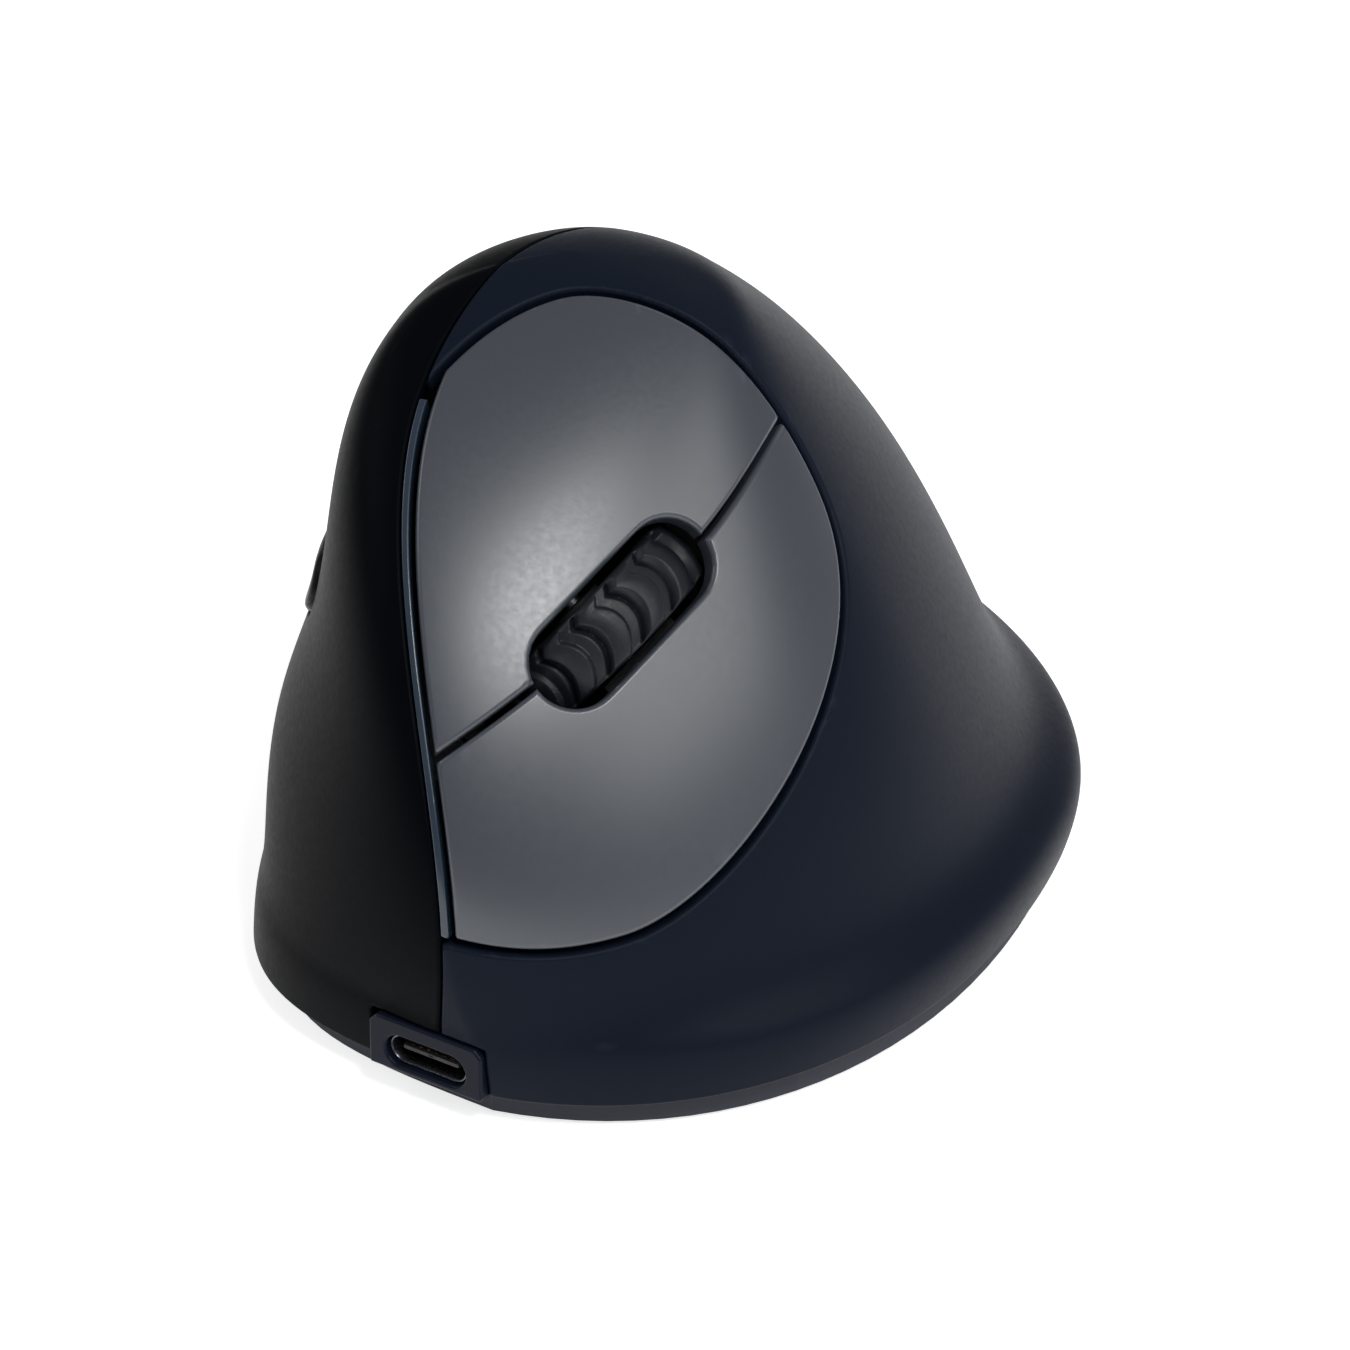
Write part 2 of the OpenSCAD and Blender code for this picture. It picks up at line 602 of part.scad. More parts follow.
module wheel_switch() color([0.1, 0.1, 0.1]) place() in_wheel() translate([0, 0, pan_low + pan_t]) difference() {
    translate([-3, -3, 0]) cube([6, 6, click_switch_h]);
    translate([0, 0, 0.6]) cylinder(r = plunger_r + run_gap, h = 5);
}
module wheel_plunger() color([0.85, 0.85, 0.8]) place() in_wheel()
    translate([0, 0, pan_low + pan_t + 0.6 + click_travel + 0.1])
        cylinder(r = plunger_r, h = carrier_low - (pan_low + pan_t + 0.6 + click_travel + 0.1));

// ---- thumb keys ----
thumb_travel = 0.5;
stem_r = 1.2;
flange_in = wall + 0.35;
tact_top = -6.2;
tact_h = 3;
thumb_board_z = tact_top - tact_h - board_t;
bracket_t = 2;
module thumb_key(i) color([0.04, 0.045, 0.055]) place() resize([0, 0, 0]) {
    intersection() {
        difference() {
            proud_solid();
            inner_solid(flange_in + 0.3);
        }
        in_thumb() translate([0, 0, -8]) linear_extrude(20) thumb_key_2d(i, 0);
    }
    intersection() {
        difference() {
            inner_solid(flange_in);
            inner_solid(flange_in + 1.1);
        }
        in_thumb() translate([0, 0, -8]) linear_extrude(14) thumb_key_2d(i, 0.42);
    }
}
module forward_key() thumb_key(0);
module back_key() thumb_key(1);
module thumb_stem(i) color([0.85, 0.85, 0.8]) place() in_thumb()
    translate([key_spots[i].x, key_spots[i].y, tact_top - 1.2]) cylinder(r = stem_r, h = 1.2 - tact_top - flange_in - 0.7);
module forward_stem() thumb_stem(0);
module back_stem() thumb_stem(1);
module thumb_tact(i) color([0.1, 0.1, 0.1]) place() in_thumb()
    translate([key_spots[i].x, key_spots[i].y, tact_top - tact_h]) difference() {
        translate([-3, -3, 0]) cube([6, 6, tact_h]);
        translate([0, 0, 0.8]) cylinder(r = stem_r + run_gap, h = 5);
    }
module forward_switch() thumb_tact(0);
module back_switch() thumb_tact(1);
module thumb_board() color([0.06, 0.2, 0.12]) place() in_thumb()
    translate([-4.5, -14.5, thumb_board_z]) cube([9, 29, board_t]);
module bracket_slab(grow) in_thumb() translate([-60, -10.4 - grow, thumb_board_z - bracket_t - grow])
    cube([64, 24.4 + 2 * grow, bracket_t + 2 * grow]);
module thumb_bracket() color([0.22, 0.22, 0.24]) place() difference() {
    bracket_slab(0);
    translate([-100, -100, -200 + base_top]) cube([200, 300, 200]);
    translate([thumb_point.x - 96.8, -100, base_top - 1]) cube([100, 300, 5]);
}

// ---- boards, cell and power switch ----
module main_board() color([0.06, 0.2, 0.12]) place() translate([0, 0, pcb_low]) difference() {
    union() {
        translate(board_at) cube([board_w, board_l, pcb_t]);
        translate([board_at.x + 4, board_at.y + 15, pcb_t]) cube([7, 7, 0.9]);
        translate([sensor_at.x + 6.5, board_at.y + 4, pcb_t]) cube([5, 4, 1.2]);
        translate([board_at.x + 4, board_at.y + 24, pcb_t]) cube([4, 2, 0.8]);
    }
    translate([sensor_at.x, sensor_at.y, -1]) cylinder(r = 2.3, h = 4);
    translate([power_at.x - 4.2, power_at.y - 2.6, -1]) cube([12, 5.2, 6]);
}
module optical_sensor() color([0.05, 0.05, 0.06]) place() translate([sensor_at.x, sensor_at.y, pcb_top]) {
    translate([-4.5, -5, 0]) cube([9, 10, 2.6]);
    translate([0, 0, -1]) cylinder(r = 2, h = 1.5);
}
module sensor_lens() color([0.8, 0.85, 0.88]) place() translate([sensor_at.x, sensor_at.y, 0]) {
    translate([0, 0, foot_t + 0.5]) cylinder(r = lens_r, h = base_top - foot_t - 0.5);
    translate([0, 0, base_top]) cylinder(r = lens_r + 1.1, h = 0.5);
}
module battery_tray() color([0.22, 0.22, 0.24]) place() translate([cell_at.x, cell_at.y, base_top]) difference() {
    translate([-1.2, -1.2, 0]) cube([cell.x + 2.4, cell.y + 2.4, 4]);
    translate([-0.1, -0.1, 0.6]) cube([cell.x + 0.2, cell.y + 0.2, 10]);
}
module battery() color([0.65, 0.66, 0.7]) place() translate([cell_at.x, cell_at.y, base_top + 0.6]) cube(cell);
module power_switch() color([0.1, 0.1, 0.1]) place() translate([power_at.x + power_travel / 2, power_at.y, base_top])
    difference() {
        translate([-5, -2, 0]) cube([9.4, 4, 3]);
        translate([0, 0, 0]) cube([power_travel + 2.2, 1.6, 3.6], center = true);
    }
module power_knob() color([0.5, 0.5, 0.52]) place() translate([power_at.x, power_at.y, 0]) {
    translate([-knob_l / 2, -knob_w / 2, foot_t + 0.1]) cube([knob_l, knob_w, base_t - 0.2]);
    translate([-0.9, -0.65, foot_t + 0.3]) cube([1.8, 1.3, base_t + 1]);
}
cable_w = 3;
cable_t = 0.3;
cable_y = 10 * sy;
module flat_cable() color([0.7, 0.7, 0.66]) place()
    translate([board_at.x + 0.1, cable_y, pcb_top]) cube([cable_w, board_at.y + 3 - cable_y, cable_t]);

base_plate();
glide_foot_1();
glide_foot_2();
glide_foot_3();
glide_foot_4();
base_screw_1();
base_screw_2();
base_screw_3();
base_screw_4();
thumb_shell();
finger_shell();
light_strip();
port_bezel();
usb_socket();
usb_board();
index_key();
index_lever();
middle_key();
middle_lever();
chassis();
index_pin();
middle_pin();
index_board();
middle_board();
index_switch();
index_plunger();
middle_switch();
middle_plunger();
wheel_carrier();
wheel_hub();
wheel_tyre();
wheel_axle();
wheel_encoder();
wheel_switch();
wheel_plunger();
forward_key();
forward_stem();
forward_switch();
back_key();
back_stem();
back_switch();
thumb_board();
thumb_bracket();
main_board();
optical_sensor();
sensor_lens();
battery();
battery_tray();
power_switch();
power_knob();
flat_cable();
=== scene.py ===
"""Visual model of a computer mouse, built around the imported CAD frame. Lengths are in millimetres until mesh()."""

import json
import math

import bpy
import numpy as np
from mathutils.kdtree import KDTree
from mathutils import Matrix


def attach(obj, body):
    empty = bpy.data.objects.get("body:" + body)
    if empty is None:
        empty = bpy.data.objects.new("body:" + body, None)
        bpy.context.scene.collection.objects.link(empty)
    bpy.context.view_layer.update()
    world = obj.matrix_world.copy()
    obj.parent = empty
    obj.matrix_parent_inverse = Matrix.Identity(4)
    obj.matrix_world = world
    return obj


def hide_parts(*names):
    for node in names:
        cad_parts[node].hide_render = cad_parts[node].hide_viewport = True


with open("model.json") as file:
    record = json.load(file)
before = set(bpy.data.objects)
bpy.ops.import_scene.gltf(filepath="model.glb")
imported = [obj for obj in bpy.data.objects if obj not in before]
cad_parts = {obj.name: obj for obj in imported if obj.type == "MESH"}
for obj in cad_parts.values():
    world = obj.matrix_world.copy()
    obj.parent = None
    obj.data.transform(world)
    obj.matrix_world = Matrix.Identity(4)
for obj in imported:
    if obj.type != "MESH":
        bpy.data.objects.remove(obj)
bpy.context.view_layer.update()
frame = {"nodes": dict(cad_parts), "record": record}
scene = bpy.context.scene
MM = 0.001
TAU = 2 * math.pi


# ---------------------------------------------------------------- body surface
# Each row is one level line: height, ridge x y, ridge roundness, finger side x y, palm end x y, thumb side x y.
LEVELS = [
    [3.5, 6.5, 1, 23, 48, 57, 1, 104.5, -27.2, 38],
    [8, 6.5, 0.2, 23, 49.5, 57, 1, 106, -27.2, 40],
    [10.5, 6, 0.6, 22, 48.5, 57, 1, 105, -26.6, 41],
    [13, 4, 0.5, 17, 44, 52, 2, 102, -26.6, 42],
    [24, 3, 0, 9, 40, 46, 3, 101, -28, 43],
    [38, -1.5, 6, 7, 33.5, 45, 1, 95, -21.5, 43],
    [52, -8, 17.5, 7, 24.5, 47, 0, 82, -20.5, 42],
    [63, -11, 32, 8, 17, 50, 0, 66, -17.5, 43],
    [68, -8, 45, 7, 11.5, 54, 0, 58.5, -11, 46],
    [68.6, -1, 50.5, 0, -1, 50.5, -1, 50.5, -1, 50.5],
]
LAST = len(LEVELS) - 1
MID = np.array([10.8628, 52.7344, 0.0])
FRONT_PULL, REAR_PULL = 0.62, 0.5
TURN_LOW, TURN_HIGH, PORT_TURN = 12, 26, 15
THUMB_PULL, LOW_THUMB_PULL, STEM_SHARE, LOW_STEM_SHARE = 0.62, 0.14, 0.8, 0.16


def bez(p, t):
    p = [np.asarray(q, float) for q in p]
    t = np.asarray(t, float)[:, None]
    return (
        (1 - t) ** 3 * p[0]
        + 3 * t * (1 - t) ** 2 * p[1]
        + 3 * t * t * (1 - t) * p[2]
        + t**3 * p[3]
    )


def bez_run(p, n):
    return bez(p, np.arange(n) / n)


def outline(r, n):
    s, f, p, t = (np.array(r[i : i + 2], float) for i in (1, 4, 6, 8))
    x, y = np.array([1.0, 0]), np.array([0, 1.0])
    low = max(0, min(1, (TURN_HIGH - r[0]) / (TURN_HIGH - TURN_LOW)))
    turn = math.radians(PORT_TURN * low)
    back = np.array([-math.cos(turn), math.sin(turn)]) * (STEM_SHARE + LOW_STEM_SHARE * low)
    pull = THUMB_PULL + LOW_THUMB_PULL * low
    return np.concatenate(
        [
            bez_run([s, s + x * r[3], f - y * FRONT_PULL * (f[1] - s[1]), f], n),
            bez_run([f, f + y * REAR_PULL * (p[1] - f[1]), p + x * REAR_PULL * (f[0] - p[0]), p], n),
            bez_run([p, p - x * REAR_PULL * (p[0] - t[0]), t + y * REAR_PULL * (p[1] - t[1]), t], n),
            bez_run([t, t - y * pull * (t[1] - s[1]), s + back * r[3], s], n),
        ]
    )


def knot(i):
    return max(0, min(LAST - 2, i - 3))


def weight(i, k, t):
    if k == 0:
        return 1.0 if knot(i) <= t < knot(i + 1) else 0.0
    a, b, c, d = knot(i), knot(i + k), knot(i + 1), knot(i + k + 1)
    left = (t - a) / (b - a) * weight(i, k - 1, t) if b > a else 0
    right = (d - t) / (d - c) * weight(i + 1, k - 1, t) if d > c else 0
    return left + right


def levels_at(rows, n, ts):
    """Rings of the surface: one row of 4n points for each t, from the skirt at 0 to the crown at LAST - 2."""
    lines = np.array([np.column_stack([outline(r, n), np.full(4 * n, r[0])]) for r in rows])
    w = np.array([[weight(i, 3, t) for i in range(LAST + 1)] for t in ts])
    return np.einsum("ki,ijc->kjc", w, lines)


# ---------------------------------------------------------------- small mesh tools (vertices, normals, triangles)
def unit(v):
    return v / np.maximum(np.linalg.norm(v, axis=-1, keepdims=True), 1e-12)


def surface(rows, n, m):
    """The outer skin as triangles with smooth normals, from the skirt line to the crown."""
    ts = (LAST - 2) * (1 - (1 - np.arange(m) / m) ** 1.25)
    g = levels_at(rows, n, ts)
    k = 4 * n
    across = np.roll(g, -1, 1) - np.roll(g, 1, 1)
    upward = np.gradient(g, axis=0)
    normals = unit(np.cross(across, upward)).reshape(-1, 3)
    points = np.concatenate([g.reshape(-1, 3), [[rows[LAST][1], rows[LAST][2], rows[LAST][0]]]])
    normals = np.concatenate([normals, [[0, 0, 1.0]]])
    i, j = np.meshgrid(np.arange(m - 1), np.arange(k), indexing="ij")
    a, b = (i * k + j).ravel(), (i * k + (j + 1) % k).ravel()
    tris = np.concatenate([np.column_stack([a, b, b + k]), np.column_stack([a, b + k, a + k])])
    j = np.arange(k)
    cap = np.column_stack([(m - 1) * k + j, (m - 1) * k + (j + 1) % k, np.full(k, m * k)])
    return points, normals, np.concatenate([tris, cap])


def split(shape, s, keep=None):
    """Splits the triangles where s crosses zero. keep=True drops the side where s < 0."""
    v, n, f = shape
    s = np.where(np.abs(s) < 1e-5, 0.0, s)
    side = s >= 0
    pos = side[f]
    count = pos.sum(1)
    whole = (count == 0) | (count == 3)
    mixed = f[~whole]
    pm = pos[~whole]
    lone = np.where(pm.sum(1) == 1, np.argmax(pm, 1), np.argmin(pm, 1))
    rows = np.arange(len(mixed))
    a, b, c = mixed[rows, lone], mixed[rows, (lone + 1) % 3], mixed[rows, (lone + 2) % 3]
    edges = np.sort(np.concatenate([np.column_stack([a, b]), np.column_stack([a, c])]), 1)
    if not len(edges):
        kept = f[count == 3] if keep else f
        return tidy((v, n, kept)), None
    uniq, where = np.unique(edges, axis=0, return_inverse=True)
    where = where.ravel()
    s0, s1 = s[uniq[:, 0]], s[uniq[:, 1]]
    t = np.clip(s0 / (s0 - s1), 0, 1)[:, None]
    nv = v[uniq[:, 0]] * (1 - t) + v[uniq[:, 1]] * t
    nn = unit(n[uniq[:, 0]] * (1 - t) + n[uniq[:, 1]] * t)
    ab, ac = len(v) + where[: len(a)], len(v) + where[len(a) :]
    lone_pos = pm.sum(1) == 1
    tip = np.column_stack([a, ab, ac])
    rest = np.concatenate([np.column_stack([ab, b, c]), np.column_stack([ab, c, ac])])
    v2, n2 = np.concatenate([v, nv]), np.concatenate([n, nn])
    if keep:
        f2 = np.concatenate([f[count == 3], tip[lone_pos], rest[np.tile(~lone_pos, 2)]])
    else:
        f2 = np.concatenate([f[whole], tip, rest])
    return tidy((v2, n2, f2)), len(v)


def tidy(shape, near=2e-4):
    """Drops unused vertices and triangles of no size, and joins vertices that lie in one place."""
    v, n, f = shape
    _, first, same = np.unique(np.round(v / near).astype(np.int64), axis=0, return_index=True, return_inverse=True)
    same = same.ravel()
    f = same[f]
    v, n = v[first], n[first]
    good = (f[:, 0] != f[:, 1]) & (f[:, 1] != f[:, 2]) & (f[:, 0] != f[:, 2])
    f = f[good]
    used, back = np.unique(f, return_inverse=True)
    return v[used], n[used], back.reshape(-1, 3)


def edge_loops(f):
    """Directed boundary edges of the triangles."""
    e = np.concatenate([f[:, [0, 1]], f[:, [1, 2]], f[:, [2, 0]]])
    key = np.sort(e, 1)
    _, where, count = np.unique(key, axis=0, return_inverse=True, return_counts=True)
    return e[count[where.ravel()] == 1]


def edge_distance(v, f, reach):
    """Distance of each vertex from the open boundary, up to reach, and the direction to it."""
    e = edge_loops(f)
    tree = KDTree(len(e))
    p, q = v[e[:, 0]], v[e[:, 1]]
    size = np.linalg.norm(q - p, axis=1)
    extra, owner = [], []
    for i, l in enumerate(size):
        for t in np.linspace(0, 1, max(2, int(l / 0.15) + 1))[:-1]:
            extra.append(p[i] * (1 - t) + q[i] * t)
            owner.append(i)
    tree = KDTree(len(extra))
    for i, x in enumerate(extra):
        tree.insert(x, i)
    tree.balance()
    far = reach + 2.5
    dist = np.full(len(v), far)
    foot = v.copy()
    for i, x in enumerate(v):
        hits = tree.find_n(x, 2)
        if hits[0][2] > far:
            continue
        best = far
        for _, at, _ in hits:
            for s in {owner[at], owner[at - 1]}:
                d = q[s] - p[s]
                t = min(1, max(0, float(np.dot(x - p[s], d) / max(np.dot(d, d), 1e-12))))
                y = p[s] + d * t
                r = float(np.linalg.norm(x - y))
                if r < best:
                    best, foot[i] = r, y
        dist[i] = best
    return dist, foot


def lip(shape, radius, steps=(0.1, 0.28, 0.55, 1.0)):
    """Rounds the open edge over: extra rows of vertices near it, which drop in an arc."""
    for s in steps:
        dist, _ = edge_distance(shape[0], shape[2], radius)
        shape, _ = split(shape, dist - radius * s)
    v, n, f = shape
    dist, foot = edge_distance(v, f, radius)
    x = np.clip(dist / radius, 0, 1)
    near = x < 1
    drop = radius * (1 - np.sqrt(np.maximum(0, 1 - (1 - x) ** 2)))
    outward = foot - v
    flat = np.linalg.norm(outward, axis=1) < 1e-6
    if flat.any():
        e = edge_loops(f)
        side = np.zeros_like(v)
        d = unit(v[e[:, 1]] - v[e[:, 0]])
        for c in (0, 1):
            np.add.at(side, e[:, c], np.cross(d, n[e[:, c]]))
        outward[flat] = side[flat]
    outward = unit(outward - (outward * n).sum(1, keepdims=True) * n)
    tilt = (1 - x)[:, None] * 0.94
    bent = unit(n * np.sqrt(1 - tilt**2) + outward * tilt)
    n2 = np.where(near[:, None], bent, n)
    return v - n * (drop * near)[:, None], n2, f, n


def thicken(shape, depth, flat=None):
    """Closes a skin with side walls and an inner face depth below it. depth may be one number for each vertex."""
    v, n, f = shape[:3]
    inward = shape[3] if len(shape) > 3 else n
    k = len(v)
    inner = v - inward * np.reshape(depth, (-1, 1)) if flat is None else flat(v)
    e = edge_loops(f)
    used, spot = np.unique(e, return_inverse=True)
    spot = spot.reshape(-1, 2)
    d = unit(v[e[:, 1]] - v[e[:, 0]])
    side = np.zeros((len(used), 3))
    for c in (0, 1):
        np.add.at(side, spot[:, c], np.cross(d, inward[e[:, c]]))
    side = unit(side)
    top, low = 2 * k + spot, 2 * k + len(used) + spot
    walls = np.concatenate(
        [
            np.column_stack([top[:, 1], top[:, 0], low[:, 0]]),
            np.column_stack([top[:, 1], low[:, 0], low[:, 1]]),
        ]
    )
    points = np.concatenate([v, inner, v[used], inner[used]])
    normals = np.concatenate([n, -inward, side, side])
    weld = np.concatenate([np.arange(2 * k), used, used + k])
    return points, normals, np.concatenate([f, f[:, ::-1] + k, walls]), weld


def mesh(name, shape, body, material, replaces=()):
    """A Blender object from vertices, normals and triangles. Walls share the skin's vertices, with their own corner normals."""
    v, n, f = shape[:3]
    weld = shape[3] if len(shape) > 3 and shape[3].ndim == 1 else np.arange(len(v))
    corners = n[f.ravel()]
    f = weld[f]
    good = (f[:, 0] != f[:, 1]) & (f[:, 1] != f[:, 2]) & (f[:, 0] != f[:, 2])
    corners = corners.reshape(-1, 3, 3)[good].reshape(-1, 3)
    f = f[good]
    used, back = np.unique(f, return_inverse=True)
    data = bpy.data.meshes.new(name)
    data.from_pydata(((v[used] - MID) * MM).tolist(), [], back.reshape(-1, 3).tolist())
    data.polygons.foreach_set("use_smooth", np.ones(len(f), bool))
    data.normals_split_custom_set(corners.tolist())
    data.materials.append(material)
    obj = bpy.data.objects.new(name, data)
    scene.collection.objects.link(obj)
    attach(obj, body)
    if replaces:
        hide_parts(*replaces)
    return obj


# ---------------------------------------------------------------- plan distances (positive on the kept side)
def line_distance(p, line):
    """Distance of each 2-D point from a polyline."""
    best = np.full(len(p), 1e9)
    for a, b in zip(line[:-1], line[1:]):
        d = b - a
        t = np.clip(((p - a) @ d) / max(d @ d, 1e-12), 0, 1)
        best = np.minimum(best, np.linalg.norm(p - a - t[:, None] * d, axis=1))
    return best


def inside(p, poly):
    x, y = p[:, 0], p[:, 1]
    hit = np.zeros(len(p), bool)
    for a, b in zip(poly, np.roll(poly, -1, 0)):
        cross = (a[1] > y) != (b[1] > y)
        with np.errstate(divide="ignore", invalid="ignore"):
            at = (b[0] - a[0]) * (y - a[1]) / (b[1] - a[1]) + a[0]
        hit ^= cross & (x < at)
    return hit


def signed(p, poly):
    """Distance inside a closed outline, negative outside it."""
    poly = np.asarray(poly, float)
    d = line_distance(p, np.concatenate([poly, poly[:1]]))
    return np.where(inside(p, poly), d, -d)


SEAM = np.concatenate(
    [
        [[2.6, -12]],
        bez_run([[2.4, 0.5], [-2.4, 8], [-9.9, 19], [-9.9, 31]], 24),
        bez_run([[-9.9, 31], [-9.9, 38], [-7.6, 48], [-4, 56]], 24),
        bez_run([[-4, 56], [0.5, 66], [9, 85], [9, 108]], 24),
        [[9, 130]],
    ]
)


def right_of(v, d=0.0):
    """Distance in plan to the right of the seam moved d towards the finger side."""
    line = SEAM + [d, 0]
    poly = np.concatenate([line, [[200, 130], [200, -12]]])
    dist = line_distance(v[:, :2], line)
    return np.where(inside(v[:, :2], poly), dist, -dist)


YAW, PITCH = math.radians(45), math.radians(42)
ALONG = np.array([math.cos(YAW), math.sin(YAW), 0])
UP = np.array([-math.sin(YAW) * math.sin(PITCH), math.cos(YAW) * math.sin(PITCH), math.cos(PITCH)])
OUT = np.array([math.sin(YAW) * math.cos(PITCH), -math.cos(YAW) * math.cos(PITCH), math.sin(PITCH)])


def on_face(v):
    return np.column_stack([v @ ALONG, v @ UP])


def off_face(v, low=4.0):
    return v @ OUT - low


LEAF_TOP, LEAF_SIDE, LEAF_LOW = [31, 70.8], [50.6, 43], [18, 9.8]
LEFT_TOP, LEFT_LOW = [15.6, 65.2], [2.1, 15.1]
LEAF = np.concatenate(
    [
        bez_run([LEFT_TOP, [21, 68.8], [26, 70.8], LEAF_TOP], 24),
        bez_run([LEAF_TOP, [40, 70.8], [50.6, 54], LEAF_SIDE], 40),
        bez_run([LEAF_SIDE, [50.6, 28], [30, 9.8], LEAF_LOW], 40),
        bez_run([LEAF_LOW, [11, 9.8], [6, 12], LEFT_LOW], 20),
        [LEFT_LOW, [-8, 20.5], [0, 57]],
    ]
)
SPLIT = np.array([[-12, 26], [3.2, 30.2], [17, 35.2], [34, 43], [48.2, 53.3], [62, 63.5]], float)
KEY_GAP, STRIP_W = 0.6, 0.9
SLOT_AT, SLOT_TURN, SLOT_L, SLOT_W = np.array([25.4, 38.9]), math.radians(29.5), 22.4, 8.8


def smooth_line(p, n=12):
    """A line through the points without corners."""
    out = []
    for i in range(len(p) - 1):
        a, b = p[i], p[i + 1]
        before, after = p[max(i - 1, 0)], p[min(i + 2, len(p) - 1)]
        out.append(bez_run([a, a + (b - before) / 6, b - (after - a) / 6, b], n))
    return np.concatenate(out + [p[-1:]])


def stadium_distance(p, centre, turn, length, width):
    """Distance inside a round-ended slot, negative outside."""
    c, s = math.cos(turn), math.sin(turn)
    q = (p - centre) @ np.array([[c, -s], [s, c]])
    q[:, 0] = np.maximum(0, np.abs(q[:, 0]) - (length - width) / 2)
    return width / 2 - np.linalg.norm(q, axis=1)


SPLIT_FINE = smooth_line(SPLIT)


# ---------------------------------------------------------------- materials
def node(tree, kind, inputs=None, **props):
    n = tree.nodes.new(kind)
    for k, v in props.items():
        setattr(n, k, v)
    for k, v in (inputs or {}).items():
        if isinstance(v, bpy.types.NodeSocket):
            tree.links.new(v, n.inputs[k])
        else:
            n.inputs[k].default_value = v
    return n


def linear(rgb):
    """Linear colour of an sRGB colour given as 0 to 255."""
    return tuple(((c / 255 + 0.055) / 1.055) ** 2.4 if c > 10 else c / 255 / 12.92 for c in rgb) + (1.0,)


def finish(name, rgb, rough=0.5, spec=0.5, metal=0.0, grain=0.16, bump=0.05, mottle=0.06, edge_highlight=0.25,
           rough_var=0.08, sheen=0.0, coat=0.0, trans=0.0, streak=None, emit=None):
    """A moulded or metal finish: colour that varies a little, a fine grain of that size in mm and paler edges, a
    painted highlight along them.
    """
    m = bpy.data.materials.new(name)
    m.use_nodes = True
    t = m.node_tree
    t.nodes.clear()
    at = node(t, "ShaderNodeTexCoord").outputs["Object"]
    base = linear(rgb)
    if streak:
        at = node(t, "ShaderNodeMapping", {"Vector": at, "Scale": streak}).outputs[0]
    cloud = node(t, "ShaderNodeTexNoise", {"Vector": at, "Scale": 90.0, "Detail": 4.0}).outputs["Fac"]
    speck = node(t, "ShaderNodeTexNoise", {"Vector": at, "Scale": 0.55 / (grain * MM), "Detail": 3.0, "Roughness": 0.6})
    speck = speck.outputs["Fac"]
    peel = node(t, "ShaderNodeTexNoise", {"Vector": at, "Scale": 0.3 / (grain * MM), "Detail": 2.0}).outputs["Fac"]
    dark = tuple(c * (1 - mottle) for c in base[:3]) + (1,)
    light = tuple(min(1, c * (1 + mottle)) for c in base[:3]) + (1,)
    ramp = node(t, "ShaderNodeValToRGB", {"Fac": cloud})
    ramp.color_ramp.elements[0].position, ramp.color_ramp.elements[0].color = 0.3, dark
    ramp.color_ramp.elements[1].position, ramp.color_ramp.elements[1].color = 0.7, light
    # Painted highlight: where pointiness marks an edge, the colour is mixed towards a paler one, broken up by the fine
    # grain.
    point = node(t, "ShaderNodeNewGeometry").outputs["Pointiness"]
    edge = node(t, "ShaderNodeMapRange", {"Value": point, "From Min": 0.53, "From Max": 0.62, "To Max": edge_highlight}).outputs[0]
    highlight_mask = node(t, "ShaderNodeMath", {0: edge, 1: speck}, operation="MULTIPLY").outputs[0]
    highlight_colour = tuple(min(1, c * 1.8 + 0.012) for c in base[:3]) + (1,)
    colour = node(t, "ShaderNodeMix", {"Factor": highlight_mask, "A": ramp.outputs[0], "B": highlight_colour}, data_type="RGBA")
    for i in colour.inputs:
        if i.type == "RGBA" and i.name == "A":
            t.links.new(ramp.outputs[0], i)
        if i.type == "RGBA" and i.name == "B":
            i.default_value = highlight_colour
    out_colour = [o for o in colour.outputs if o.type == "RGBA"][0]
    r = node(t, "ShaderNodeMapRange", {"Value": peel, "From Min": 0.3, "From Max": 0.7,
                                      "To Min": rough - rough_var, "To Max": rough + rough_var}).outputs[0]
    height = node(t, "ShaderNodeMath", {0: speck, 1: peel}, operation="ADD").outputs[0]
    normal = node(t, "ShaderNodeBump", {"Height": height, "Strength": 1.0, "Distance": bump * MM}).outputs[0]
    shader = node(t, "ShaderNodeBsdfPrincipled", {
        "Base Color": out_colour, "Roughness": r, "Normal": normal, "Metallic": metal,
        "Specular IOR Level": spec, "Sheen Weight": sheen, "Coat Weight": coat, "Transmission Weight": trans})
    if sheen:
        shader.inputs["Sheen Roughness"].default_value = 0.4
    if coat:
        shader.inputs["Coat Roughness"].default_value = 0.25
    if emit:
        shader.inputs["Emission Color"].default_value = linear(emit[0])
        shader.inputs["Emission Strength"].default_value = emit[1]
    node(t, "ShaderNodeOutputMaterial", {"Surface": shader.outputs[0]})
    return m


# In each finish below, the edge number sets how strongly a painted highlight lifts the edges.
KEY = finish("key_satin", (61, 67, 76), 0.35, 1.0, grain=0.2, bump=0.0025, mottle=0.02, edge_highlight=0.6, rough_var=0.02)
FINGER = finish("finger_soft", (17, 25, 39), 0.46, 0.09, grain=0.2, bump=0.004, mottle=0.03, edge_highlight=0.5, rough_var=0.03)
THUMB = finish("thumb_soft", (3, 5, 9), 0.46, 0.035, grain=0.2, bump=0.004, mottle=0.05, edge_highlight=0.3, rough_var=0.03)
THUMB_KEY = finish("thumb_key_soft", (7, 9, 14), 0.38, 0.12, grain=0.18, bump=0.004, edge_highlight=0.4, rough_var=0.03)
BEZEL = finish("bezel_satin", (14, 21, 37), 0.38, 0.15, grain=0.15, bump=0.003, edge_highlight=0.4, rough_var=0.03)
